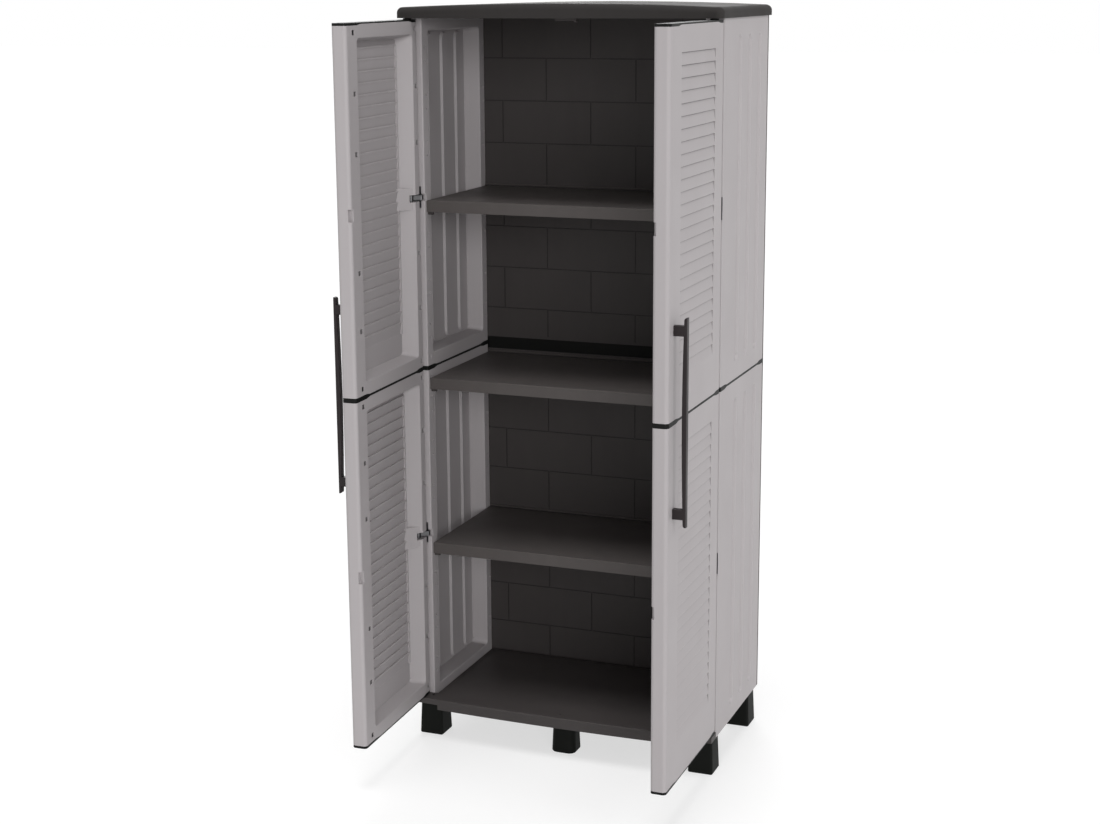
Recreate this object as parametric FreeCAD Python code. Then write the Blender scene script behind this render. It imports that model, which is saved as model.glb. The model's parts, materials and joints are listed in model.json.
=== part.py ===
"""Tall two-door garden storage cabinet in moulded plastic, with three shelves and six feet.

Millimetres, +Z up. X runs across the cabinet, to the right seen from the front. Y runs from
the front to the back. The origin is on the ground, under the middle of the front opening.
The doors are drawn closed, then swung open about their pivots to the rest position.
"""
import FreeCAD, Part
import math
import os

Vector = FreeCAD.Vector

# Carcass
cabinet_width = 700.0
side_depth = 330.0
side_thickness = 40.0
side_front_rim = 30.0
side_rear_rim = 27.0
side_end_rim = 26.0
skin = 3.2
rim_wall = 2.8
side_edge_radius = 2.5
side_recess_flank = 4.0
side_recess_radius = 9.0

# Flutes pressed into each side panel
flute_count = 3
flute_first_y = 112.0
flute_pitch = 74.0
flute_width = 30.0
flute_depth = 4.5
flute_end_margin = 34.0
flute_flank_lean = 1.0
flute_end_lean = 0.9

# Peg holes up the inner rims of the side panels
peg_radius = 3.5
peg_clearance = 0.06
peg_length = 18.0
peg_reach = 12.0
peg_chamfer = 0.6
peg_hole_pair_count = 7
peg_hole_pair_gap = 30.0
peg_hole_inset = 17.0
peg_hole_rear_inset = 10.0
small_hole_radius = 2.6
hole_lip = 0.8
hole_relief = 1.2

# Joint between the lower and the upper half
seam_height = 10.0
seam_narrow_height = 5.0
seam_slope = 16.0
seam_slot_offset = 22.5
seam_slot_width = 5.0
seam_slot_height = 9.5
joiner_tongue = 12.0
joiner_clearance = 0.6

# Floor tray
floor_top_z = 97.0
tray_height = 24.0
side_seat_depth = 12.0
floor_recess_depth = 2.0
floor_border = 18.0
floor_keeper_width = 3.0
floor_keeper_length = 7.0
gutter_width = 16.0
gutter_depth = 7.0
gutter_front_y = 6.0
tray_skin = 5.5
tray_wall = 3.5
tray_front_wall = 6.5
tray_rear_overhang = 1.0
tray_flange_inset = 4.0
tray_flange_thickness = 6.0
tray_corner_height = 13.0
tray_edge_radius = 3.0
tray_rib = 2.5
tray_rib_lift = 2.0
tray_cross_rib_count = 5
tray_long_rib_count = 3
front_bow_end = 34.0
front_bow_rise = 11.0
fit_gap = 0.5

# Feet
foot_top_size = 50.0
foot_bottom_size = 56.0
foot_corner_radius = 5.0
middle_foot_corner_radius = 16.0
foot_edge_radius = 3.5
foot_side_inset = 5.0
foot_front_y = -8.0
foot_wall = 4.0
spigot_radius = 12.0
spigot_height = 5.0
spigot_clearance = 0.3
spigot_wall = 3.0
foot_relief_gap = 2.0
foot_pad_inset = 2.0

# Back panels
back_thickness = 4.5
back_band_height = 28.0
brick_width = 212.0
brick_height = 95.0
brick_groove_width = 2.4
brick_groove_depth = 1.1
brick_end_margin = 6.0
back_joiner_depth = 7.0
back_joiner_overlap = 7.0
back_joiner_recess = 2.0

# Lid
lid_overhang = 5.0
lid_rear_overhang = 8.0
lid_height = 30.0
lid_crown = 8.0
lid_corner_radius = 16.0
lid_edge_radius = 12.0
lid_skin = 4.0
lid_front_wall = 7.0
lid_rib = 3.0
lid_cross_rib_count = 6
lid_long_rib_count = 4

# Shelves
shelf_top_heights = {"lower": 449.0, "middle": 823.0, "upper": 1211.0}
shelf_lip = 25.0
shelf_front_y = 7.0
shelf_rear_gap = 3.0
shelf_side_gap = 0.6
shelf_plate = 3.5
shelf_wall = 3.0
shelf_rib = 2.5
shelf_rib_count = 4
shelf_edge_radius = 2.0
shelf_upstand = 5.0
shelf_rib_lift = 4.0

# Doors
door_thickness = 32.5
door_body_gap = 3.0
door_end_gap = 3.0
door_meeting_gap = 4.0
door_panel_height = 735.0
door_free_rim = 50.0
door_hinge_rim = 28.0
door_end_rim = 25.0
door_hinge_radius = 10.0
door_free_outer_radius = 8.0
door_free_inner_radius = 7.0
door_recess_flank = 3.0
door_recess_end_flank = 8.0
door_hinge_flank = 22.0
door_recess_radius = 9.0
recess_mouth_radius = 2.5
door_cap_height = 5.5
right_door_open_deg = 90.0
left_door_open_deg = 88.0

# Louvres
louvre_pitch = 23.4
louvre_depth = 2.6
louvre_wall = 3.0
louvre_top_margin = 50.0
louvre_bottom_margin = 70.0
louvre_hinge_margin = 58.0
louvre_free_margin = 68.0
louvre_lip = 1.2
louvre_ridge_depth = 1.3
louvre_cheek = 4.0

# Clip slots in the inner face of the door rims
slot_pitch = 118.0
slot_width = 11.0
slot_height = 10.0
free_slot_inset = 33.0
hinge_slot_inset = 13.0

# Pivots and middle hinges
pivot_radius = 5.0
pivot_clearance = 0.08
pivot_length = 12.5
pivot_boss_radius = 11.0
pivot_end_gap = 0.5
pivot_collar_radius = 8.5
pivot_collar_height = 2.4
hinge_pin_radius = 2.5
hinge_pin_clearance = 0.06
hinge_pin_bite = 10.0
hinge_notch_height = 16.0
hinge_notch_length = 38.0
hinge_notch_depth = 27.0
hinge_block_height = 18.0
hinge_ramp_length = 36.0
hinge_ramp_height = 46.0
knuckle_radius = 6.0
knuckle_side_gap = 0.8
hinge_arm_width = 7.0
hinge_barrel_radius = 3.3
hinge_barrel_height = 10.0
hinge_barrel_inset = 33.5
hinge_barrel_lift = 4.0
hinge_web_thickness = 4.0
hinge_arm_taper = 0.8
side_notch_depth = 8.0
side_notch_gap = 1.0
hinge_plate_width = 30.0
hinge_plate_thickness = 3.0
hinge_plate_height = 46.0
hinge_screw_radius = 2.0
hinge_screw_spacing = 32.0
hinge_screw_length = 14.0
hinge_screw_head_radius = 3.8
hinge_screw_head_height = 1.8
hinge_screw_sink = 0.1
hinge_screw_clearance = 0.05
hinge_screw_cross_length = 4.4
hinge_screw_cross_width = 0.8
hinge_screw_cross_depth = 1.0
hinge_pin_end_gap = 0.3
free_notch_depth = 7.0
free_notch_length = 12.0
free_notch_height = 26.0

# Handles
handle_length = 408.0
handle_arm_spacing = 357.5
handle_arm_height = 20.0
handle_width = 14.0
handle_edge_inset = 29.0
handle_projection = 27.0
handle_edge_radius = 1.8
handle_end_radius = 4.5
handle_arm_radius = 1.2
handle_end_thickness = 6.0
handle_middle_thickness = 9.5
handle_post_radius = 4.0
handle_post_clearance = 0.1
handle_post_length = 9.0
handle_barb = 1.2
handle_barb_length = 3.5
handle_barb_gap = 0.3
handle_post_tip_radius = 3.5

# Door stop under the lid
stop_length = 43.0
stop_depth = 8.0
stop_height = 6.0
stop_left_x = -9.0
stop_front_gap = 2.0
stop_knob_radius = 4.0
stop_knob_height = 9.0
stop_edge_radius = 1.5

# How far cutters run past a face, and joined pieces run into each other
past = 1.0

# Worked-out places
half_width = cabinet_width / 2.0
inner_x = half_width - side_thickness
tray_bottom_z = floor_top_z - tray_height
side_seat_z = floor_top_z - side_seat_depth
foot_height = side_seat_z - tray_flange_thickness
door_bottom_z = floor_top_z + door_end_gap
lower_door_z = door_bottom_z + door_cap_height
seam_low_z = lower_door_z + door_panel_height
seam_z = seam_low_z + seam_height / 2.0
seam_high_z = seam_low_z + seam_height
upper_door_z = seam_high_z
door_top_z = upper_door_z + door_panel_height + door_cap_height
lid_underside_z = door_top_z + door_end_gap
seam_bulge = (seam_height - seam_narrow_height) / 2.0
door_width = half_width - door_meeting_gap / 2.0
door_inner_y = -door_body_gap
door_outer_y = door_inner_y - door_thickness
door_free_x = half_width - door_width
pivot_x = half_width - door_thickness / 2.0
pivot_y = door_inner_y - door_thickness / 2.0
barrel_x = half_width - hinge_barrel_inset
barrel_y = -hinge_barrel_lift
lower_hinge_z = lower_door_z + door_panel_height / 2.0
upper_hinge_z = upper_door_z + door_panel_height / 2.0
back_front_y = side_depth
back_rear_y = back_front_y + back_thickness
tray_rear_y = back_rear_y + tray_rear_overhang


def box(x0, x1, y0, y1, z0, z1):
    """A block between two corners."""
    return Part.makeBox(x1 - x0, y1 - y0, z1 - z0, Vector(x0, y0, z0))


def upright(x, y, z0, z1, radius):
    """A round bar along Z."""
    return Part.makeCylinder(radius, z1 - z0, Vector(x, y, z0))


def join(shapes):
    """One clean solid out of pieces that meet."""
    return shapes[0].multiFuse(shapes[1:]).removeSplitter()


def prism(points, direction):
    """A flat outline, given by its corners, pushed along a vector."""
    return Part.Face(Part.makePolygon(points + [points[0]])).extrude(direction)


def round_uprights(shape, wanted, radius):
    """Round the vertical edges that stand at one of the wanted (x, y) places."""
    edges = []
    for edge in shape.Edges:
        a = edge.Vertexes[0].Point
        b = edge.Vertexes[-1].Point
        if abs(a.x - b.x) > 0.01 or abs(a.y - b.y) > 0.01:
            continue
        if any(abs(a.x - x) < 0.01 and abs(a.y - y) < 0.01 for x, y in wanted):
            edges.append(edge)
    return shape.makeFillet(radius, edges)


def solid_of(shape):
    """The only solid inside a boolean result."""
    return shape.Solids[0] if len(shape.Solids) == 1 else shape


def rounded_outline(u0, u1, v0, v1, radius, place):
    """A rectangle with round corners: place turns its own two lengths into a point."""
    k = radius * (1 - math.sqrt(0.5))
    corners = [(u1, v1, -1, -1), (u0, v1, 1, -1), (u0, v0, 1, 1), (u1, v0, -1, 1)]
    ends = []
    for u, v, du, dv in corners:
        along_v = (u, v + dv * radius)
        along_u = (u + du * radius, v)
        middle = (u + du * k, v + dv * k)
        first, last = (along_v, along_u) if du == dv else (along_u, along_v)
        ends.append((place(*first), place(*middle), place(*last)))
    edges = []
    for i, (first, middle, last) in enumerate(ends):
        edges.append(Part.Arc(first, middle, last).toShape())
        edges.append(Part.makeLine(last, ends[(i + 1) % 4][0]))
    return Part.Wire(edges)


def pocket(u0, u1, v0, v1, deep, mouth, flanks, radius, place):
    """A rounded pocket with sloping flanks: u0..v1 at its floor, wider at its mouth.

    flanks are how far the low u, high u and both v sides lean out between floor and mouth.
    place turns (u, v, depth) into a point. The shape runs a little past the mouth.
    """
    low_u, high_u, both_v = flanks
    share = 1 + past / abs(mouth - deep)
    beyond = deep + (mouth - deep) * share
    floor = rounded_outline(u0, u1, v0, v1, radius, lambda u, v: place(u, v, deep))
    top = rounded_outline(u0 - low_u * share, u1 + high_u * share, v0 - both_v * share,
                          v1 + both_v * share, radius, lambda u, v: place(u, v, beyond))
    return Part.makeLoft([floor, top], True, True)


def mouth_edges(shape, axis, level, low, high):
    """Edges that lie in a plane across an axis, with their middles between two corners."""
    found = []
    for edge in shape.Edges:
        bounds = edge.BoundBox
        least, most = (bounds.XMin, bounds.XMax) if axis == "x" else (bounds.YMin, bounds.YMax)
        middle = bounds.Center
        flat = abs(least - level) < 0.001 and abs(most - level) < 0.001
        if flat and all(a < m < b for a, m, b in zip(low, middle, high)):
            found.append(edge)
    return found


def bulged_block(x0, x1, y0, y1, z0, z1, low, high, inset0, inset1, along):
    """A block whose ends swell by low and high between two insets, along X or Y."""
    a, b = (x0, x1) if along == "x" else (y0, y1)
    outline = [(a, z0), (a + inset0, z0)]
    if low:
        outline += [(a + inset0 + seam_slope, z0 - low), (b - inset1 - seam_slope, z0 - low)]
    outline += [(b - inset1, z0), (b, z0), (b, z1), (b - inset1, z1)]
    if high:
        outline += [(b - inset1 - seam_slope, z1 + high), (a + inset0 + seam_slope, z1 + high)]
    outline += [(a + inset0, z1), (a, z1)]
    if along == "x":
        return prism([Vector(p, y0, z) for p, z in outline], Vector(0, y1 - y0, 0))
    return prism([Vector(x0, p, z) for p, z in outline], Vector(x1 - x0, 0, 0))


def flute(y, z0, z1, x_face, depth, width, direction):
    """A long rounded-end sink on a face square to X, with sloping flanks and ends."""
    wires = []
    for step in (0.0, depth):
        x = x_face + direction * step
        half = width / 2.0 - step * flute_flank_lean
        top = z1 - step * flute_end_lean - half
        low = z0 + step * flute_end_lean + half
        right = Part.makeLine(Vector(x, y + half, low), Vector(x, y + half, top))
        cap = Part.Arc(Vector(x, y + half, top), Vector(x, y, top + half), Vector(x, y - half, top))
        left = Part.makeLine(Vector(x, y - half, top), Vector(x, y - half, low))
        base = Part.Arc(Vector(x, y - half, low), Vector(x, y, low - half), Vector(x, y + half, low))
        wires.append(Part.Wire([right, cap.toShape(), left, base.toShape()]))
    return Part.makeLoft(wires, True, True)


def slot_cutters(u, z, width, height, face, inward, axis):
    """A slot through a rim's wall, wider behind a thin lip, so that it shows as a dark mark.

    u is the slot's middle along the face, and axis is the one that the face looks along.
    """
    cutters = []
    for grow, start in ((0.0, -past), (hole_relief, hole_lip)):
        low, high = sorted((face + inward * start, face + inward * (rim_wall + past)))
        half = width / 2.0 + grow
        z0 = z - height / 2.0 - grow
        z1 = z + height / 2.0 + grow
        if axis == "x":
            cutters.append(box(low, high, u - half, u + half, z0, z1))
        else:
            cutters.append(box(u - half, u + half, low, high, z0, z1))
    return cutters


def peg_hole_heights(z0, z1):
    """Heights of the small hole pairs between two ends, spread evenly about the middle."""
    middle = (z0 + z1) / 2.0
    pairs = peg_hole_pair_count
    pitch = (z1 - z0) / pairs
    heights = []
    for i in range(pairs):
        centre = middle + (i - (pairs - 1) / 2.0) * pitch
        heights += [centre - peg_hole_pair_gap / 2.0, centre + peg_hole_pair_gap / 2.0]
    return heights


def peg_heights():
    """Centre height of the pegs under each shelf."""
    return {name: top - shelf_lip - peg_radius for name, top in shelf_top_heights.items()}


def side_block(z0, z1, swell_low, swell_high):
    """The full block of a side panel or its joiner, with eased uprights."""
    block = bulged_block(inner_x, half_width, 0, side_depth, z0, z1, swell_low, swell_high,
                         side_front_rim, side_rear_rim, "y")
    return round_uprights(block, [(half_width, 0), (inner_x, 0), (half_width, side_depth),
                                  (inner_x, side_depth)], side_edge_radius)


def side_panel(z0, z1, swell_low, swell_high, hinge_z):
    """Right side panel: thin skin, hollow rims open at both ends, pressed flutes."""
    body = side_block(z0, z1, swell_low, swell_high)
    recess_low = z0 + side_end_rim
    recess_high = z1 - side_end_rim
    rear_rim_y = side_depth - side_rear_rim
    flank = side_recess_flank
    body = body.cut(pocket(side_front_rim + flank, rear_rim_y - flank, recess_low + flank,
                           recess_high - flank, half_width - skin, inner_x,
                           (flank, flank, flank), side_recess_radius,
                           lambda y, z, x: Vector(x, y, z)))
    mouth = mouth_edges(body, "x", inner_x, (0, side_front_rim - 1, recess_low - 1),
                        (half_width, rear_rim_y + 1, recess_high + 1))
    body = body.makeFillet(recess_mouth_radius, mouth)
    tube_x0 = inner_x + rim_wall
    tube_x1 = half_width - skin
    hollow = [
        box(tube_x0, tube_x1, rim_wall, side_front_rim - rim_wall, z0 - 5, z1 + 5),
        box(tube_x0, tube_x1, rear_rim_y + rim_wall, side_depth - rim_wall, z0 - 5, z1 + 5),
        box(tube_x0, tube_x1, rim_wall, side_depth - rim_wall, z0 - 5, recess_low - rim_wall),
        box(tube_x0, tube_x1, rim_wall, side_depth - rim_wall, recess_high + rim_wall, z1 + 5),
    ]
    block_half = hinge_plate_height / 2.0 + rim_wall
    solid_block = box(tube_x0 - 0.1, tube_x1 + 0.1, rim_wall - 0.1, side_front_rim - rim_wall + 0.1,
                      hinge_z - block_half, hinge_z + block_half)
    hollow[0] = hollow[0].cut(solid_block)
    for space in hollow:
        body = body.cut(space)
    sinks = []
    for i in range(flute_count):
        y = flute_first_y + i * flute_pitch
        low = z0 + flute_end_margin
        high = z1 - flute_end_margin
        swollen = flute(y, low - skin, high + skin, half_width - skin / 2.0,
                        flute_depth + skin / 2.0, flute_width + 2 * skin, -1)
        body = body.fuse(swollen)
        sinks.append(flute(y, low, high, half_width + 0.01, flute_depth, flute_width, -1))
    for sink in sinks:
        body = body.cut(sink)
    holes = []
    for z in peg_hole_heights(z0 + side_end_rim, z1 - side_end_rim):
        if abs(z - hinge_z) < block_half + small_hole_radius:
            continue
        if abs(z - seam_z) < seam_slot_offset + seam_slot_height:
            continue
        for y in (peg_hole_inset, side_depth - peg_hole_rear_inset):
            if all(abs(z - p) > peg_radius + small_hole_radius + 1 for p in peg_heights().values()):
                holes.append(Part.makeCylinder(small_hole_radius, rim_wall + 2,
                                               Vector(inner_x - 1, y, z), Vector(1, 0, 0)))
                holes.append(Part.makeCylinder(small_hole_radius + hole_relief, rim_wall,
                                               Vector(inner_x + hole_lip, y, z), Vector(1, 0, 0)))
    for z in peg_heights().values():
        if z0 < z < z1:
            for y in (peg_hole_inset, side_depth - peg_hole_rear_inset):
                holes.append(Part.makeCylinder(peg_radius + peg_clearance, rim_wall + 2,
                                               Vector(inner_x - 1, y, z), Vector(1, 0, 0)))
    slot_z = seam_z + (seam_slot_offset if z0 > seam_z else -seam_slot_offset)
    holes += slot_cutters(side_front_rim / 2.0, slot_z, seam_slot_width, seam_slot_height, inner_x,
                          1, "x")
    holes.append(box(inner_x - past, barrel_x + hinge_barrel_radius + side_notch_gap, -past,
                     side_notch_depth, hinge_z - hinge_notch_height / 2.0,
                     hinge_z + hinge_notch_height / 2.0))
    plate = hinge_plate_place(hinge_z, fit_gap)
    for screw_z in (hinge_z - hinge_screw_spacing / 2.0, hinge_z + hinge_screw_spacing / 2.0):
        holes.append(Part.makeCylinder(hinge_screw_radius + hinge_screw_clearance,
                                       hinge_screw_length + 1, Vector(pivot_x, 0, screw_z),
                                       Vector(0, 1, 0)))
    for cutter in holes + [plate]:
        body = body.cut(cutter)
    return solid_of(body.removeSplitter())


def hinge_plate_place(hinge_z, gap):
    """The space of the hinge bracket's plate, let into the front of a side panel."""
    return box(pivot_x - hinge_plate_width / 2.0 - gap, pivot_x + hinge_plate_width / 2.0 + gap,
               -1.0 if gap else 0.0, hinge_plate_thickness + gap / 2.0,
               hinge_z - hinge_plate_height / 2.0 - gap, hinge_z + hinge_plate_height / 2.0 + gap)


def side_joiner():
    """Dark strip between the two halves of a side, with tongues up and down into the rims."""
    narrow = side_block(seam_low_z, seam_high_z, -seam_bulge, -seam_bulge)
    gap = rim_wall + joiner_clearance
    tongue = box(inner_x + gap, half_width - skin - joiner_clearance, gap, side_depth - gap,
                 seam_low_z - joiner_tongue, seam_high_z + joiner_tongue)
    return join([narrow, tongue])


def bow_outline(half, z, rear_y, front_end, rise):
    """Plan outline with a softly bowed front edge."""
    left = Vector(-half, -front_end, z)
    right = Vector(half, -front_end, z)
    front = Part.Arc(left, Vector(0, -front_end - rise, z), right).toShape()
    edges = [front,
             Part.makeLine(right, Vector(half, rear_y, z)),
             Part.makeLine(Vector(half, rear_y, z), Vector(-half, rear_y, z)),
             Part.makeLine(Vector(-half, rear_y, z), left)]
    return Part.Face(Part.Wire(edges))


def foot_places():
    """Centre of each foot on plan, by name."""
    corner_x = half_width - foot_side_inset - foot_bottom_size / 2.0
    front_y = foot_front_y + foot_bottom_size / 2.0
    rear_y = tray_rear_y - foot_bottom_size / 2.0
    places = {}
    for row, y in (("front", front_y), ("rear", rear_y)):
        for column, x in (("left", -corner_x), ("middle", 0.0), ("right", corner_x)):
            places[row + "_" + column + "_foot"] = (x, y)
    return places


def floor_tray():
    """Floor with a bowed front ledge, ribs, pads for the feet and sockets for the doors."""
    ledge = bow_outline(half_width, tray_bottom_z, 0, front_bow_end, front_bow_rise)
    ledge = ledge.extrude(Vector(0, 0, floor_top_z - tray_bottom_z))
    middle_half = half_width - foot_side_inset - foot_bottom_size - foot_relief_gap
    corner_z = floor_top_z - tray_corner_height
    for sign in (-1, 1):
        x0, x1 = sorted((sign * middle_half, sign * (half_width + 1)))
        ledge = ledge.cut(box(x0, x1, -front_bow_end - front_bow_rise - 1, 1,
                              tray_bottom_z - 1, corner_z))
    ledge = ledge.makeFillet(tray_edge_radius, [e for e in ledge.Edges if ledge_front_edge(e)])
    floor_half = inner_x - fit_gap
    floor_rear = back_front_y - fit_gap
    floor = box(-floor_half, floor_half, 0, floor_rear, tray_bottom_z, floor_top_z)
    gutter_z = floor_top_z - gutter_depth
    for inset, top in ((tray_wall, gutter_z - tray_skin),
                       (tray_wall + gutter_width, floor_top_z - tray_skin)):
        floor = floor.cut(box(-floor_half + inset, floor_half - inset, tray_wall,
                              floor_rear - inset, tray_bottom_z - 1, top))
    flange = box(-half_width + tray_flange_inset, half_width - tray_flange_inset, 0, tray_rear_y,
                 side_seat_z - tray_flange_thickness, side_seat_z)
    flange = flange.cut(box(-floor_half, floor_half, -1, floor_rear, 0, floor_top_z))
    rib_low = tray_bottom_z + tray_rib_lift
    rib_half = tray_rib / 2.0
    rib_top = floor_top_z - tray_skin + 1
    ribs = []
    for i in range(1, tray_cross_rib_count + 1):
        x = -floor_half + i * 2 * floor_half / (tray_cross_rib_count + 1)
        ribs.append(box(x - rib_half, x + rib_half, 1, floor_rear - 1, rib_low, rib_top))
    for i in range(1, tray_long_rib_count + 1):
        y = i * floor_rear / (tray_long_rib_count + 1)
        ribs.append(box(-floor_half + 1, floor_half - 1, y - rib_half, y + rib_half, rib_low,
                        rib_top))
    front_hollow_half = middle_half - tray_wall
    front_hollow = box(-front_hollow_half, front_hollow_half, -front_bow_end + tray_front_wall,
                       -tray_wall, tray_bottom_z - 1, floor_top_z - tray_skin)
    ledge = ledge.cut(front_hollow)
    tray = join([ledge, floor, flange] + ribs)
    recess_z = floor_top_z - floor_recess_depth
    recess = bow_outline(floor_half, recess_z, floor_rear + 1, front_bow_end - floor_border,
                         front_bow_rise)
    tray = tray.cut(recess.extrude(Vector(0, 0, floor_recess_depth + 1)))
    step_y = -front_bow_end - front_bow_rise + floor_border
    tray = join([tray, box(-floor_keeper_width / 2.0, floor_keeper_width / 2.0, step_y - 1,
                           step_y + floor_keeper_length, recess_z - 1, floor_top_z)])
    pads = []
    reliefs = []
    for x, y in foot_places().values():
        half = foot_bottom_size / 2.0 + foot_relief_gap
        pad_half = foot_bottom_size / 2.0 - foot_pad_inset
        pad_top = side_seat_z
        if abs(x) < half:
            pad_top = floor_top_z - floor_recess_depth - past
        pads.append(box(x - pad_half, x + pad_half, y - pad_half, min(y + pad_half, floor_rear),
                        foot_height, pad_top))
        reliefs.append(box(x - half, x + half, y - half, y + half, 0, foot_height))
        reliefs.append(upright(x, y, foot_height - 1, foot_height + spigot_height + 1,
                               spigot_radius + spigot_clearance))
    for sign in (-1, 1):
        x0, x1 = sorted((sign * (floor_half - gutter_width), sign * (floor_half + past)))
        reliefs.append(box(x0, x1, gutter_front_y, floor_rear + past, gutter_z,
                           floor_top_z + past))
    reliefs.append(box(-floor_half, floor_half, floor_rear - gutter_width, floor_rear + past,
                       gutter_z, floor_top_z + past))
    tray = join([tray] + pads)
    for relief in reliefs:
        tray = tray.cut(relief)
    for sign in (-1, 1):
        tray = tray.cut(upright(sign * pivot_x, pivot_y,
                                door_bottom_z - pivot_length - pivot_end_gap, floor_top_z + 1,
                                pivot_radius + pivot_clearance))
    return solid_of(tray.removeSplitter())


def ledge_front_edge(edge):
    """True for the bowed edge along the top of the ledge's front."""
    box_ = edge.BoundBox
    return (abs(box_.ZMin - floor_top_z) < 0.01 and abs(box_.ZMax - floor_top_z) < 0.01
            and box_.YMax < -front_bow_end + 1 and box_.XLength > half_width)


def foot(x, y):
    """A hollow foot, wider at the ground, with a round spigot: the middle ones are rounder."""
    radius = foot_corner_radius if x else middle_foot_corner_radius
    sections = []
    for size, z in ((foot_bottom_size, 0), (foot_top_size, foot_height)):
        h = size / 2.0
        sections.append(rounded_outline(x - h, x + h, y - h, y + h, radius,
                                        lambda u, v, level=z: Vector(u, v, level)))
    shell = Part.makeLoft(sections, True, True)
    low_edges = [e for e in shell.Edges if e.BoundBox.ZMax < 0.01]
    shell = shell.makeFillet(foot_edge_radius, low_edges)
    half = foot_top_size / 2.0 - foot_wall
    inside = rounded_outline(x - half, x + half, y - half, y + half, radius - foot_wall,
                             lambda u, v: Vector(u, v, foot_wall))
    shell = shell.cut(Part.Face(inside).extrude(Vector(0, 0, foot_height - 2 * foot_wall)))
    shell = shell.fuse(upright(x, y, foot_height, foot_height + spigot_height, spigot_radius))
    shell = shell.cut(upright(x, y, foot_height - foot_wall - 1, foot_height + spigot_height + 1,
                              spigot_radius - spigot_wall))
    return solid_of(shell.removeSplitter())


def back_panel(z0, z1, row_start_z):
    """Flat back with shallow grooves laid out like brickwork, on both faces."""
    plate = box(-half_width, half_width, back_front_y, back_rear_y, z0, z1)
    grooves = []
    inset = side_thickness
    for face_y, direction in ((back_front_y, 1), (back_rear_y, -1)):
        y0, y1 = sorted((face_y - direction, face_y + direction * brick_groove_depth))
        rows = math.ceil((row_start_z - z0) / brick_height)
        steps = math.ceil(half_width / brick_width)
        for row in range(rows):
            z = row_start_z - row * brick_height
            grooves.append(box(-half_width + inset, half_width - inset, y0, y1,
                               z - brick_groove_width / 2.0, z + brick_groove_width / 2.0))
            low = max(z - brick_height, z0 + brick_end_margin)
            shift = -brick_width / 4.0 if row % 2 else brick_width / 4.0
            for step in range(-steps, steps + 1):
                x = shift + step * brick_width
                if low < z and abs(x) < half_width - inset:
                    grooves.append(box(x - brick_groove_width / 2.0, x + brick_groove_width / 2.0,
                                       y0, y1, low, z))
        for step in range(-steps, steps + 1):
            x = -brick_width / 4.0 + step * brick_width
            if abs(x) < half_width - inset:
                grooves.append(box(x - brick_groove_width / 2.0, x + brick_groove_width / 2.0,
                                   y0, y1, row_start_z, z1 - brick_end_margin))
    return solid_of(plate.cut(Part.makeCompound(grooves)).removeSplitter())


def back_joiner():
    """Recessed dark strip that holds the two back panels in line."""
    low = seam_z - back_band_height / 2.0
    high = seam_z + back_band_height / 2.0
    web = box(-inner_x, inner_x, back_front_y + back_joiner_recess, back_rear_y + past, low, high)
    cover = box(-inner_x, inner_x, back_rear_y, back_rear_y + back_joiner_depth - back_thickness,
                low - back_joiner_overlap, high + back_joiner_overlap)
    lips = []
    for sign in (-1, 1):
        x0, x1 = sorted((sign * (inner_x - 1), sign * half_width))
        lips.append(box(x0, x1, back_front_y, back_rear_y, low, high))
    return join([web, cover] + lips)


def lid():
    """Crowned lid with soft shoulders and a bowed front, ribbed underneath."""
    lid_half = half_width + lid_overhang
    shoulder_z = lid_underside_z + lid_height - lid_crown
    top_z = lid_underside_z + lid_height
    front_y = -front_bow_end - front_bow_rise - past
    rear_y = side_depth + lid_rear_overhang
    crown = Part.Arc(Vector(-lid_half, front_y, shoulder_z), Vector(0, front_y, top_z),
                     Vector(lid_half, front_y, shoulder_z)).toShape()
    corners = [Vector(lid_half, front_y, shoulder_z), Vector(lid_half, front_y, lid_underside_z),
               Vector(-lid_half, front_y, lid_underside_z), Vector(-lid_half, front_y, shoulder_z)]
    outline = [crown] + [Part.makeLine(a, b) for a, b in zip(corners, corners[1:])]
    body = Part.Face(Part.Wire(outline)).extrude(Vector(0, rear_y - front_y, 0))
    plan = bow_outline(lid_half, lid_underside_z - 1, rear_y, front_bow_end, front_bow_rise)
    body = body.common(plan.extrude(Vector(0, 0, lid_height + 2)))
    body = round_uprights(body, [(-lid_half, -front_bow_end), (lid_half, -front_bow_end)],
                          lid_corner_radius)
    top_edges = [e for e in body.Edges
                 if e.BoundBox.ZMin > shoulder_z - 0.1 and e.BoundBox.Center.z > shoulder_z - 0.05]
    body = body.makeFillet(lid_edge_radius, top_edges)
    under_z = shoulder_z - lid_skin
    pocket_half = lid_half - lid_front_wall
    pocket_front = -front_bow_end + lid_front_wall
    body = body.cut(box(-pocket_half, pocket_half, pocket_front, rear_y - lid_skin,
                        lid_underside_z - past, under_z))
    ribs = []
    for i in range(lid_cross_rib_count + 1):
        x = -inner_x + i * 2 * inner_x / lid_cross_rib_count
        ribs.append(box(x - lid_rib / 2.0, x + lid_rib / 2.0, pocket_front - 1, rear_y - 1,
                        lid_underside_z, under_z + 1))
    for i in range(lid_long_rib_count + 1):
        y = lid_rib + i * (side_depth - 2 * lid_rib) / lid_long_rib_count
        ribs.append(box(-pocket_half - 1, pocket_half + 1, y - lid_rib / 2.0, y + lid_rib / 2.0,
                        lid_underside_z, under_z + 1))
    for sign in (-1, 1):
        ribs.append(upright(sign * pivot_x, pivot_y, lid_underside_z, under_z + 1,
                            pivot_boss_radius))
    body = join([body] + ribs)
    for sign in (-1, 1):
        body = body.cut(upright(sign * pivot_x, pivot_y, lid_underside_z - 1,
                                door_top_z + pivot_length + pivot_end_gap,
                                pivot_radius + pivot_clearance))
    return solid_of(body.removeSplitter())


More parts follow.
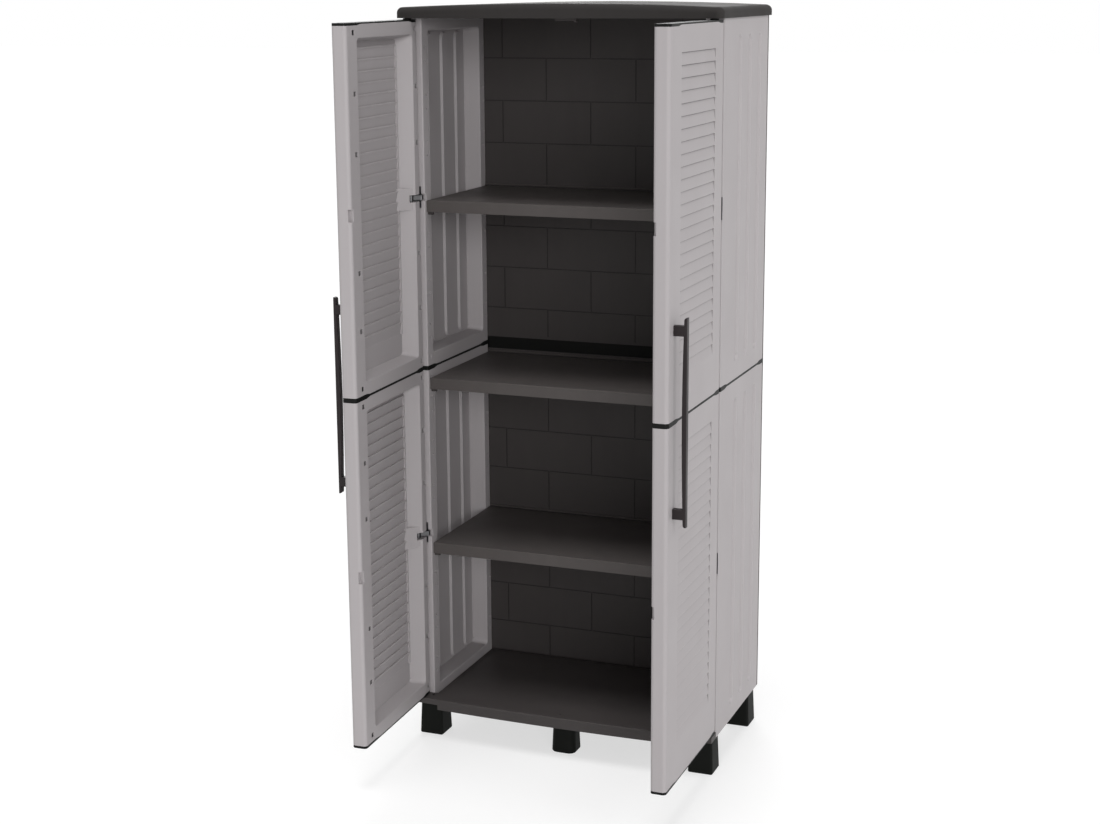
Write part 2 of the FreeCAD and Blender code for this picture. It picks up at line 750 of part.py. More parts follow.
def shelf(top_z):
    """Tray-like shelf with a deep lip all round and ribs underneath."""
    half = inner_x - shelf_side_gap
    y0 = shelf_front_y
    y1 = side_depth - shelf_rear_gap
    low = top_z - shelf_lip
    body = box(-half, half, y0, y1, low, top_z)
    rounded = [e for e in body.Edges if abs(e.BoundBox.ZMin - top_z) < 0.01]
    body = body.makeFillet(shelf_edge_radius, rounded)
    body = body.cut(box(-half + shelf_wall, half - shelf_wall, y0 + shelf_wall, y1 - shelf_wall,
                        low - 1, top_z - shelf_plate))
    ribs = [box(-half + shelf_edge_radius, half - shelf_edge_radius, y1 - shelf_wall, y1,
                top_z - shelf_plate, top_z + shelf_upstand)]
    for i in range(1, shelf_rib_count + 1):
        x = -half + i * 2 * half / (shelf_rib_count + 1)
        ribs.append(box(x - shelf_rib / 2.0, x + shelf_rib / 2.0, y0 + 1, y1 - 1,
                        low + shelf_rib_lift, top_z - shelf_plate + 1))
    y = (y0 + y1) / 2.0
    ribs.append(box(-half + 1, half - 1, y - shelf_rib / 2.0, y + shelf_rib / 2.0,
                    low + shelf_rib_lift, top_z - shelf_plate + 1))
    return join([body] + ribs)


def shelf_pegs():
    """Four short pegs under each shelf, pushed into the rims of the side panels."""
    pegs = []
    for z in peg_heights().values():
        for y in (peg_hole_inset, side_depth - peg_hole_rear_inset):
            for sign in (-1, 1):
                start = Vector(sign * (inner_x - peg_reach), y, z)
                peg = Part.makeCylinder(peg_radius, peg_length, start, Vector(sign, 0, 0))
                pegs.append(peg.makeChamfer(peg_chamfer, [e for e in peg.Edges if e.Curve.TypeId
                                                  == "Part::GeomCircle"]))
    return Part.makeCompound(pegs)


def door_plan(z0, z1, swell):
    """The full block of a door panel between two heights, with its rounded uprights."""
    low, high = (swell, swell) if swell else (0, 0)
    block = bulged_block(door_free_x, half_width, door_outer_y, door_inner_y, z0, z1, low, high,
                         door_free_rim, door_hinge_rim, "x")
    block = round_uprights(block, [(half_width, door_inner_y), (half_width, door_outer_y)],
                           door_hinge_radius)
    block = round_uprights(block, [(door_free_x, door_outer_y)], door_free_outer_radius)
    return round_uprights(block, [(door_free_x, door_inner_y)], door_free_inner_radius)


def louvre_count():
    """How many slats fit in a door panel."""
    return int((door_panel_height - louvre_top_margin - louvre_bottom_margin) / louvre_pitch)


def louvre_slab(z_top):
    """A sheet folded into sloping slats, each with a lip outside and a ridge inside."""
    ridge = louvre_depth + louvre_wall + louvre_ridge_depth
    outer = [(louvre_depth, z_top)]
    inner = [(louvre_depth + louvre_wall, z_top)]
    count = louvre_count()
    for i in range(1, count + 1):
        z = z_top - i * louvre_pitch
        outer += [(0, z + louvre_lip), (0, z)]
        inner += [(louvre_wall, z + louvre_wall)]
        if i < count:
            outer.append((louvre_depth, z))
            inner += [(ridge, z + louvre_wall), (ridge, z), (louvre_depth + louvre_wall, z)]
    inner.append((louvre_wall, z_top - count * louvre_pitch))
    outline = outer + inner[::-1]
    x0 = door_free_x + louvre_free_margin
    x1 = half_width - louvre_hinge_margin
    points = [Vector(x0, door_outer_y + n, z) for n, z in outline]
    return prism(points, Vector(x1 - x0, 0, 0))


def sloped_wall(rim, flank):
    """Where the inner side of a door recess's sloping wall stands, at its floor and its mouth.

    rim is where the wall meets the inner face, and flank how far it leans to its floor.
    """
    deep = door_thickness - skin
    lean = flank / deep
    level = math.copysign(rim_wall * math.hypot(1, lean), flank)
    return rim + flank - level, rim + lean * rim_wall - level


def door_panel():
    """One half of the right door, closed, standing on z = 0: both halves are alike."""
    height = door_panel_height
    body = door_plan(0, height, seam_bulge)
    x_free = door_free_x + door_free_rim
    x_hinge = half_width - door_hinge_rim
    skin_y = door_outer_y + skin
    body = body.cut(pocket(x_free + door_recess_flank, x_hinge - door_hinge_flank,
                           door_end_rim + door_recess_end_flank,
                           height - door_end_rim - door_recess_end_flank, skin_y, door_inner_y,
                           (door_recess_flank, door_hinge_flank, door_recess_end_flank),
                           door_recess_radius, lambda x, z, y: Vector(x, y, z)))
    mouth = mouth_edges(body, "y", door_inner_y, (x_free - 1, door_outer_y, door_end_rim - 1),
                        (x_hinge + 1, 0, height - door_end_rim + 1))
    body = body.makeFillet(recess_mouth_radius, mouth)
    inside_y = door_inner_y - rim_wall
    free_wall = door_free_x + rim_wall
    hinge_wall = half_width - rim_wall
    middle = height / 2.0
    block_half = hinge_notch_height / 2.0 + hinge_block_height
    hinge_block = box(x_hinge + rim_wall - 0.1, hinge_wall + 0.1, skin_y - 0.1, inside_y + 0.1,
                      middle - block_half, middle + block_half)
    notch_half = free_notch_height / 2.0 + rim_wall
    notch_block = box(free_wall - 0.1, door_free_x + free_notch_length + rim_wall,
                      door_inner_y - free_notch_depth - rim_wall, inside_y + 0.1,
                      middle - notch_half, middle + notch_half)
    floor_x, mouth_x = sloped_wall(x_hinge, -door_hinge_flank)
    hinge_hollow = prism([Vector(mouth_x, inside_y, -5), Vector(hinge_wall, inside_y, -5),
                          Vector(hinge_wall, skin_y, -5), Vector(floor_x, skin_y, -5)],
                         Vector(0, 0, height + 10))
    hollows = [box(free_wall, x_free - rim_wall, skin_y, inside_y, -5, height + 5).cut(notch_block),
               hinge_hollow.cut(hinge_block)]
    for end_z, rim, flank in ((-5, door_end_rim, door_recess_end_flank),
                              (height + 5, height - door_end_rim, -door_recess_end_flank)):
        floor_z, mouth_z = sloped_wall(rim, flank)
        hollows.append(prism([Vector(free_wall, skin_y, end_z), Vector(free_wall, skin_y, floor_z),
                              Vector(free_wall, inside_y, mouth_z),
                              Vector(free_wall, inside_y, end_z)],
                             Vector(hinge_wall - free_wall, 0, 0)))
    inner_shape = door_plan(-6, height + 6, 0).makeOffsetShape(-rim_wall, 0.01)
    hollow = join(hollows).common(inner_shape)
    body = body.cut(hollow)
    z_top = height + seam_bulge - louvre_top_margin
    z_low = z_top - louvre_count() * louvre_pitch
    x0 = door_free_x + louvre_free_margin
    x1 = half_width - louvre_hinge_margin
    body = body.cut(box(x0, x1, door_outer_y - 1, skin_y + 1, z_low, z_top))
    sheet_y = door_outer_y + louvre_depth + louvre_wall + louvre_ridge_depth
    frame = [box(x0 - louvre_cheek, x0, door_outer_y, sheet_y, z_low, z_top + louvre_wall),
             box(x1, x1 + louvre_cheek, door_outer_y, sheet_y, z_low, z_top + louvre_wall),
             box(x0, x1, door_outer_y, sheet_y, z_top, z_top + louvre_wall)]
    ramp_half = hinge_ramp_height / 2.0
    ramp = prism([Vector(x_hinge + rim_wall, door_inner_y, middle - ramp_half),
                  Vector(x_hinge - hinge_ramp_length, skin_y, middle - ramp_half),
                  Vector(x_hinge + rim_wall, skin_y - rim_wall, middle - ramp_half)],
                 Vector(0, 0, hinge_ramp_height))
    body = join([body, louvre_slab(z_top), ramp] + frame)
    cuts = []
    slots_each_way = int((middle - slot_height) / slot_pitch)
    for i in range(-slots_each_way, slots_each_way + 1):
        z = middle + i * slot_pitch
        for x in (door_free_x + free_slot_inset, half_width - hinge_slot_inset):
            if i != 0:
                cuts += slot_cutters(x, z, slot_width, slot_height, door_inner_y, -1, "y")
    end_slot = seam_slot_offset - seam_height / 2.0
    for z in (end_slot, height - end_slot):
        cuts += slot_cutters(half_width - hinge_slot_inset, z, seam_slot_width, seam_slot_height,
                             door_inner_y, -1, "y")
    half = hinge_notch_height / 2.0
    cuts.append(box(half_width - hinge_notch_length, half_width + past,
                    door_inner_y - hinge_notch_depth, door_inner_y + past, middle - half,
                    middle + half))
    cuts.append(upright(pivot_x, pivot_y, middle - half - hinge_pin_bite,
                        middle + half + hinge_pin_bite, hinge_pin_radius + hinge_pin_clearance))
    half = free_notch_height / 2.0
    cuts.append(box(door_free_x - 1, door_free_x + free_notch_length,
                    door_inner_y - free_notch_depth, door_inner_y + 1,
                    middle - half, middle + half))
    for cutter in cuts:
        body = body.cut(cutter)
    return body


def handle_post_places():
    """Heights and X of the two posts that hold the handle, on a closed right door."""
    x = door_free_x + handle_edge_inset + handle_width / 2.0
    return [(x, seam_z - handle_arm_spacing / 2.0), (x, seam_z + handle_arm_spacing / 2.0)]


def post_holes(panel):
    """Holes in the door's skin for the handle's posts."""
    for x, z in handle_post_places():
        panel = panel.cut(Part.makeCylinder(handle_post_radius + handle_post_clearance, skin + 2,
                                            Vector(x, door_outer_y - 1, z), Vector(0, 1, 0)))
    return panel


def door_joiner():
    """Dark strip between the halves of a door, with tongues into the hollow rims."""
    strip = door_plan(seam_low_z, seam_high_z, 0)
    waist = bulged_block(door_free_x - 1, half_width + 1, door_outer_y - 1, door_inner_y + 1,
                         seam_low_z, seam_high_z, -seam_bulge, -seam_bulge,
                         door_free_rim + 1, door_hinge_rim + 1, "x")
    strip = strip.common(waist)
    return join([strip, door_tongue(seam_low_z - joiner_tongue, seam_high_z + joiner_tongue)])


def door_tongue(z0, z1):
    """A bar that fits the channel in the end of a door panel."""
    gap = rim_wall + joiner_clearance
    bar = box(door_free_x + gap, half_width - gap, door_outer_y + skin + joiner_clearance,
              door_inner_y - gap, z0, z1)
    inset = door_hinge_radius - gap + 1
    places = [(half_width - gap, door_inner_y - gap),
              (half_width - gap, door_outer_y + skin + joiner_clearance)]
    bar = round_uprights(bar, places, inset)
    bar = round_uprights(bar, [(door_free_x + gap, door_inner_y - gap)],
                         door_free_inner_radius - gap + 1)
    return round_uprights(bar, [(door_free_x + gap, door_outer_y + skin + joiner_clearance)],
                          door_free_outer_radius - gap + 1)


def door_cap(top):
    """End cap of a door with its pivot pin: top says which end."""
    if top:
        z0 = door_top_z - door_cap_height
        z1 = door_top_z
        swell = (-seam_bulge, 0)
        tongue = door_tongue(z0 - joiner_tongue, z0 + 1)
        pin = upright(pivot_x, pivot_y, z1 - 1, z1 + pivot_length, pivot_radius)
        collar = upright(pivot_x, pivot_y, z1 - 1, z1 + pivot_collar_height, pivot_collar_radius)
    else:
        z0 = door_bottom_z
        z1 = door_bottom_z + door_cap_height
        swell = (0, -seam_bulge)
        tongue = door_tongue(z1 - 1, z1 + joiner_tongue)
        pin = upright(pivot_x, pivot_y, z0 - pivot_length, z0 + 1, pivot_radius)
        collar = upright(pivot_x, pivot_y, z0 - pivot_collar_height, z0 + 1, pivot_collar_radius)
    waist = bulged_block(door_free_x - 1, half_width + 1, door_outer_y - 1, door_inner_y + 1,
                         z0, z1, swell[0], swell[1], door_free_rim + 1, door_hinge_rim + 1, "x")
    plate = door_plan(z0, z1, 0).common(waist)
    return join([plate, tongue, pin, collar])


def hinge_pins():
    """The two steel pins of a door's middle hinges."""
    reach = hinge_notch_height / 2.0 + hinge_pin_bite - hinge_pin_end_gap
    return Part.makeCompound([upright(pivot_x, pivot_y, z - reach, z + reach, hinge_pin_radius)
                              for z in (lower_hinge_z, upper_hinge_z)])


def hinge_bracket(z):
    """Plate let into the side panel's front, with a barrel, an arm and an eye round the pin."""
    half = hinge_notch_height / 2.0 - knuckle_side_gap
    arm_half = hinge_barrel_height / 2.0
    plate = hinge_plate_place(z, 0)
    web = box(barrel_x - hinge_web_thickness / 2.0, pivot_x, barrel_y, hinge_plate_thickness,
              z - arm_half, z + arm_half)
    web = web.cut(box(barrel_x + hinge_web_thickness, pivot_x + past, barrel_y - past, 0,
                      z - half, z + half))
    eye = upright(pivot_x, pivot_y, z - half, z + half, knuckle_radius)
    barrel = upright(barrel_x, barrel_y, z - arm_half, z + arm_half, hinge_barrel_radius)
    along = Vector(barrel_x - pivot_x, barrel_y - pivot_y, 0).normalize()
    across = Vector(-along.y, along.x, 0) * (hinge_arm_width / 2.0)
    start = Vector(pivot_x, pivot_y, z - arm_half)
    end = Vector(barrel_x, barrel_y, z - arm_half)
    arm = prism([start - across, start + across, end + across * hinge_arm_taper,
                 end - across * hinge_arm_taper],
                Vector(0, 0, hinge_barrel_height))
    body = join([plate, web, arm, barrel, eye])
    body = body.cut(upright(pivot_x, pivot_y, z - half - 1, z + half + 1,
                            hinge_pin_radius + hinge_pin_clearance))
    for screw_z in (z - hinge_screw_spacing / 2.0, z + hinge_screw_spacing / 2.0):
        place = Vector(pivot_x, hinge_screw_sink, screw_z)
        for cutter in screw_shapes(place, hinge_screw_clearance):
            body = body.cut(cutter)
        body = body.cut(Part.makeCylinder(hinge_screw_head_radius + hinge_screw_clearance,
                                          1 + hinge_screw_sink, place, Vector(0, -1, 0)))
    return solid_of(body.removeSplitter())


def screw_shapes(place, gap):
    """Countersunk head and shank of a screw going in along Y, grown by a gap."""
    head = Part.makeCone(hinge_screw_head_radius + gap, hinge_screw_radius + gap,
                         hinge_screw_head_height, place, Vector(0, 1, 0))
    shank = Part.makeCylinder(hinge_screw_radius + gap, hinge_screw_length, place,
                              Vector(0, 1, 0))
    return head, shank


def hinge_screws():
    """Two countersunk cross-head screws through each hinge bracket."""
    screws = []
    for sign in (-1, 1):
        for z in (lower_hinge_z, upper_hinge_z):
            for offset in (-hinge_screw_spacing / 2.0, hinge_screw_spacing / 2.0):
                head, shank = screw_shapes(Vector(sign * pivot_x, hinge_screw_sink, z + offset), 0)
                screw = head.fuse(shank).removeSplitter()
                long_half = hinge_screw_cross_length / 2.0
                short_half = hinge_screw_cross_width / 2.0
                for half_x, half_z in ((long_half, short_half), (short_half, long_half)):
                    screw = screw.cut(box(sign * pivot_x - half_x, sign * pivot_x + half_x, -past,
                                          hinge_screw_cross_depth, z + offset - half_z,
                                          z + offset + half_z))
                screws.append(solid_of(screw))
    return Part.makeCompound(screws)


def handle_long_edges(bar):
    """The edges that run along the grip."""
    return [e for e in bar.Edges if e.BoundBox.ZLength > handle_length / 2.0]


def handle():
    """Long pull with a slightly swollen grip, two arms and a barbed post under each arm."""
    face_y = door_outer_y
    top = handle_length / 2.0
    x0 = door_free_x + handle_edge_inset
    front_y = face_y - handle_projection
    thin_y = front_y + handle_end_thickness
    thick_y = front_y + handle_middle_thickness
    back = Part.Arc(Vector(x0, thin_y, seam_z + top), Vector(x0, thick_y, seam_z),
                    Vector(x0, thin_y, seam_z - top)).toShape()
    outline = Part.Wire([
        back,
        Part.makeLine(Vector(x0, thin_y, seam_z - top), Vector(x0, front_y, seam_z - top)),
        Part.makeLine(Vector(x0, front_y, seam_z - top), Vector(x0, front_y, seam_z + top)),
        Part.makeLine(Vector(x0, front_y, seam_z + top), Vector(x0, thin_y, seam_z + top))])
    bar = Part.Face(outline).extrude(Vector(handle_width, 0, 0))
    inner_end_edges = [e for e in bar.Edges
                       if e.BoundBox.ZLength < 0.01 and e.BoundBox.YLength < 0.01
                       and abs(e.BoundBox.YMin - thin_y) < 0.01]
    bar = bar.makeFillet(handle_end_radius, inner_end_edges)
    bar = bar.makeFillet(handle_edge_radius, handle_long_edges(bar))
    pieces = [bar]
    for x, z in handle_post_places():
        arm = box(x0, x0 + handle_width, front_y + handle_end_thickness / 2.0, face_y,
                  z - handle_arm_height / 2.0, z + handle_arm_height / 2.0)
        arm = arm.makeFillet(handle_arm_radius, [e for e in arm.Edges
                                                 if e.BoundBox.YLength > handle_arm_height / 2.0])
        post = Part.makeCylinder(handle_post_radius, handle_post_length, Vector(x, face_y - 1, z),
                                 Vector(0, 1, 0))
        barb = Part.makeCone(handle_post_radius + handle_barb, handle_post_tip_radius,
                             handle_barb_length, Vector(x, face_y + skin + handle_barb_gap, z),
                             Vector(0, 1, 0))
        pieces += [arm, post, barb]
    return join(pieces)


def door_stop():
    """Low bar with a round knob, under the front of the lid, that the doors close against."""
    y0 = door_inner_y + stop_front_gap
    z1 = lid_underside_z
    bar = box(stop_left_x, stop_left_x + stop_length, y0, y0 + stop_depth, z1 - stop_height, z1)
    bar = bar.makeFillet(stop_edge_radius, [e for e in bar.Edges
                               if e.BoundBox.ZMax < z1 - stop_height + 0.01
                               and e.BoundBox.XLength > stop_length / 2.0])
    knob = upright(stop_left_x + stop_length, y0 + stop_depth / 2.0, z1 - stop_knob_height, z1,
                   stop_knob_radius)
    knob = knob.makeFillet(stop_edge_radius, [e for e in knob.Edges
                                 if e.BoundBox.ZMax < z1 - stop_knob_height + 0.01])
    return join([bar, knob])


def mirrored(shape):
    """The left-hand twin of a right-hand piece."""
    return shape.mirror(Vector(0, 0, 0), Vector(1, 0, 0))


def swung(shape, side, degrees):
    """A piece of a closed door, turned about the pivot by how far the door stands open."""
    sign = 1 if side == "right" else -1
    copy = shape if side == "right" else mirrored(shape)
    copy = copy.copy()
    copy.rotate(Vector(sign * pivot_x, pivot_y, 0), Vector(0, 0, 1), sign * degrees)
    return copy


def raised(shape, z):
    """A copy of a piece, lifted."""
    copy = shape.copy()
    copy.translate(Vector(0, 0, z))
    return copy


def build():
    """Every sub-part, by name."""
    parts = {"floor_tray": floor_tray(), "lid": lid(), "door_stop": door_stop(),
             "shelf_pegs": shelf_pegs(), "hinge_screws": hinge_screws(),
             "back_joiner": back_joiner()}
    for name, (x, y) in foot_places().items():
        parts[name] = foot(x, y)
    lower_side = side_panel(side_seat_z, seam_low_z, 0, seam_bulge, lower_hinge_z)
    upper_side = side_panel(seam_high_z, lid_underside_z, seam_bulge, 0, upper_hinge_z)
    joiner = side_joiner()
    for name, shape in (("side_lower", lower_side), ("side_upper", upper_side),
                        ("side_joiner", joiner),
                        ("hinge_bracket_lower", hinge_bracket(lower_hinge_z)),
                        ("hinge_bracket_upper", hinge_bracket(upper_hinge_z))):
        parts["right_" + name] = shape
        parts["left_" + name] = mirrored(shape)
    band_low = seam_z - back_band_height / 2.0
    band_high = seam_z + back_band_height / 2.0
    parts["back_lower"] = back_panel(side_seat_z, band_low, band_low - brick_height)
    parts["back_upper"] = back_panel(band_high, lid_underside_z, lid_underside_z - brick_height)
    for name, top_z in shelf_top_heights.items():
        parts[name + "_shelf"] = shelf(top_z)
    panel = door_panel()
    door_pieces = {"door_lower": post_holes(raised(panel, lower_door_z)),
                   "door_upper": post_holes(raised(panel, upper_door_z)),
                   "door_joiner": door_joiner(), "door_top_cap": door_cap(True),
                   "door_bottom_cap": door_cap(False), "door_handle": handle(),
                   "hinge_pins": hinge_pins()}
    for side, degrees in (("right", right_door_open_deg), ("left", left_door_open_deg)):
        for name, shape in door_pieces.items():
            parts[side + "_" + name] = swung(shape, side, degrees)
    return parts


os.makedirs("parts", exist_ok=True)
for name, shape in sorted(build().items()):
    solids = shape.Solids
    print(name, len(solids), "solids", round(shape.Volume / 1000.0, 1), "cm3",
          "valid" if shape.isValid() else "NOT VALID")
    shape.exportStep(os.path.join("parts", name + ".step"))
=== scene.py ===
"""Looks of the two-door garden storage cabinet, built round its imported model.

Metres, in the frame of the model: +X right, +Y to the back, +Z up, ground at z = 0.
"""

import json
import math

import bpy
from mathutils import Matrix, Vector

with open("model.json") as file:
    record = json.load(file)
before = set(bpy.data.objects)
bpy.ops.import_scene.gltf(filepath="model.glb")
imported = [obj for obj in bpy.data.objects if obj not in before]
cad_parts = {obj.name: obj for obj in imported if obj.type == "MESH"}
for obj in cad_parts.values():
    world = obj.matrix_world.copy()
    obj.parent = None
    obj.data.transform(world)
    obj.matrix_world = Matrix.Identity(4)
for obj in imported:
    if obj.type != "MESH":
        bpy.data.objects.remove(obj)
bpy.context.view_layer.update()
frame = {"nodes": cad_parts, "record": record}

WHITE = (1, 1, 1, 1)

# Camera, solved from the photograph
CAMERA_PLACE = (1.405, -3.647, 1.667)
CAMERA_YAW = math.radians(21.42)
CAMERA_PITCH = math.radians(12.23)
CAMERA_ROLL = math.radians(-0.38)
CAMERA_LENS = 61.7
CAMERA_SENSOR = 36.0
CAMERA_SHIFT_Y = -0.02
CAMERA_NEAR = 0.05
CAMERA_FAR = 100.0

# Soft studio lights: azimuth from the front towards the right, height above level, strength
LIGHTS = {
    "key": (30, 10, 1.06),
    "right": (75, 35, 0.60),
    "top": (0, 78, 1.22),
    "back": (205, 30, 1.1),
}
LIGHT_SOFTNESS = math.radians(28)
SURROUNDINGS_LEVEL = 0.3

# The floor is pale as it lights the object; to the eye it glows more and takes a fainter shadow
FLOOR_PALE = 0.86
FLOOR_SEEN = 0.42
FLOOR_GLOW = 0.64
FLOOR_REACH = 40.0

# Surface colours, linear
PANEL_GREY = (0.432, 0.405, 0.412)
FRAME_DARK = (0.056, 0.050, 0.049)
LID_DARK = (0.039, 0.036, 0.035)
SHELF_DARK = (0.087, 0.078, 0.075)
HANDLE_DARK = (0.026, 0.021, 0.022)
FOOT_BLACK = (0.0085, 0.0092, 0.0082)
JOINER_BLACK = (0.0080, 0.0082, 0.0078)
STEEL = (0.17, 0.17, 0.175)

# How fine the plastic's detail is, in waves per metre
CLOUDS = 3.0
STREAKS = 9.0
SPECKS = 700.0
# Wear patches pale the edges with wear and a painted highlight
WEAR_AND_HIGHLIGHT_PATCHES = 60.0
# Top-light patches make the painted light on upward faces uneven
TOP_LIGHT_PATCHES = 5.0
GLOSS_PATCHES = 9.0
PANEL_WAVES = 7.0
GRAIN = 900.0
# Streaks run down the mouldings
STREAK_STRETCH = (3, 3, 0.4)

# Depths of the relief, and how wide a paler edge is, partly wear and partly painted highlight
WAVE_DEPTH = 0.002
GRAIN_DEPTH = 0.0003
EDGE_WIDTH = 0.0012

# How uneven gloss and the painted light on upward faces are, how much rougher worn edges are,
# and the least that an edge is paled by wear and painted highlight
GLOSS_SPREAD = 0.05
TOP_LIGHT_SPREAD = 0.15
WORN_ROUGHNESS = 0.1
LEAST_WORN_AND_HIGHLIT = 0.2

# How finely bevelled edges and the painted shade in grooves are sampled
EDGE_SAMPLES = 4
GROOVE_SHADE_SAMPLES = 8

# Paler edges, partly wear and partly painted highlight, are full, and gone, at these cosines
# between their true and rounded normals
EDGE_FULL = 0.85
EDGE_NONE = 0.985

# Painted shade in a groove is full, and gone, where this share of its surroundings is open
GROOVE_SHADE_FULL = 0.52
GROOVE_SHADE_NONE = 0.92

# Tilt is the upward part of a surface's normal. These are the gradual steps up from an
# underside, to a face that looks up, to one that looks up steeply and sheds painted groove
# shade, and to one that takes painted top light
TILT_UNDER = (-0.1, -0.02)
TILT_UP = (0.02, 0.1)
TILT_STEEP = (0.14, 0.3)
TILT_TOP_LIT = (0.5, 0.9)

# The share of the painted shade in grooves that an underside takes
UNDERSIDE_SHADE = 0.15

# Zinc-plated steel: its cloudy finish, uneven gloss and fine brushing
STEEL_CLOUDS = 250.0
STEEL_SHADE = (0.9, 1.05)
STEEL_GLOSS = 400.0
STEEL_ROUGHNESS = (0.28, 0.42)
STEEL_BRUSHING = 1500.0
STEEL_BRUSHING_STRETCH = (1, 1, 0.05)
STEEL_BRUSHING_STRENGTH = 0.15
STEEL_BRUSHING_DEPTH = 0.0001


def camera():
    """The photograph's viewing angle."""
    data = bpy.data.cameras.new("camera")
    data.lens = CAMERA_LENS
    data.sensor_width = CAMERA_SENSOR
    data.shift_y = CAMERA_SHIFT_Y
    data.clip_start = CAMERA_NEAR
    data.clip_end = CAMERA_FAR
    cam = bpy.data.objects.new("camera", data)
    bpy.context.scene.collection.objects.link(cam)
    turn = Matrix.Rotation(CAMERA_YAW, 4, "Z")
    tilt = Matrix.Rotation(math.pi / 2 - CAMERA_PITCH, 4, "X")
    roll = Matrix.Rotation(CAMERA_ROLL, 4, "Z")
    cam.matrix_world = Matrix.Translation(CAMERA_PLACE) @ turn @ tilt @ roll
    bpy.context.scene.camera = cam


def light(name, azimuth, height, level):
    """A large soft light far away, shining from a direction given in degrees."""
    data = bpy.data.lights.new(name, "SUN")
    data.energy = level
    data.angle = LIGHT_SOFTNESS
    lamp = bpy.data.objects.new(name, data)
    turn, lift = math.radians(azimuth), math.radians(height)
    towards = Vector((math.sin(turn) * math.cos(lift),
                      -math.cos(turn) * math.cos(lift),
                      math.sin(lift)))
    lamp.rotation_euler = towards.to_track_quat("Z", "Y").to_euler()
    bpy.context.scene.collection.objects.link(lamp)


def seen_directly(nodes, links):
    """1 where the camera, a reflection or a see-through surface looks, 0 for spread light."""
    path = nodes.new("ShaderNodeLightPath")
    seen = path.outputs["Is Camera Ray"]
    for other in ("Is Glossy Ray", "Is Transmission Ray"):
        most = nodes.new("ShaderNodeMath")
        most.operation = "MAXIMUM"
        links.new(seen, most.inputs[0])
        links.new(path.outputs[other], most.inputs[1])
        seen = most.outputs["Value"]
    return seen


def between(nodes, links, factor, low, high):
    """A number that goes from low to high with a factor."""
    mix = nodes.new("ShaderNodeMix")
    mix.inputs["A"].default_value = low
    mix.inputs["B"].default_value = high
    links.new(factor, mix.inputs["Factor"])
    return mix.outputs["Result"]


def surroundings():
    """Even white surroundings, weaker as a light than to the eye."""
    made = bpy.data.worlds.new("surroundings")
    bpy.context.scene.world = made
    made.use_nodes = True
    nodes, links = made.node_tree.nodes, made.node_tree.links
    background = nodes["Background"]
    background.inputs["Color"].default_value = WHITE
    level = between(nodes, links, seen_directly(nodes, links), SURROUNDINGS_LEVEL, 1.0)
    links.new(level, background.inputs["Strength"])


def floor():
    """A plain pale floor that takes the object's shadow."""
    mesh = bpy.data.meshes.new("floor")
    corners = [(-1, -1), (1, -1), (1, 1), (-1, 1)]
    mesh.from_pydata([(x * FLOOR_REACH, y * FLOOR_REACH, 0) for x, y in corners], [],
                     [(0, 1, 2, 3)])
    made = bpy.data.objects.new("floor", mesh)
    bpy.context.scene.collection.objects.link(made)
    material = bpy.data.materials.new("floor")
    material.use_nodes = True
    nodes, links = material.node_tree.nodes, material.node_tree.links
    shader = nodes["Principled BSDF"]
    seen = seen_directly(nodes, links)
    links.new(between(nodes, links, seen, FLOOR_PALE, FLOOR_SEEN), shader.inputs["Base Color"])
    shader.inputs["Roughness"].default_value = 1.0
    shader.inputs["Specular IOR Level"].default_value = 0.0
    shader.inputs["Emission Color"].default_value = WHITE
    links.new(between(nodes, links, seen, 0.0, FLOOR_GLOW), shader.inputs["Emission Strength"])
    mesh.materials.append(material)


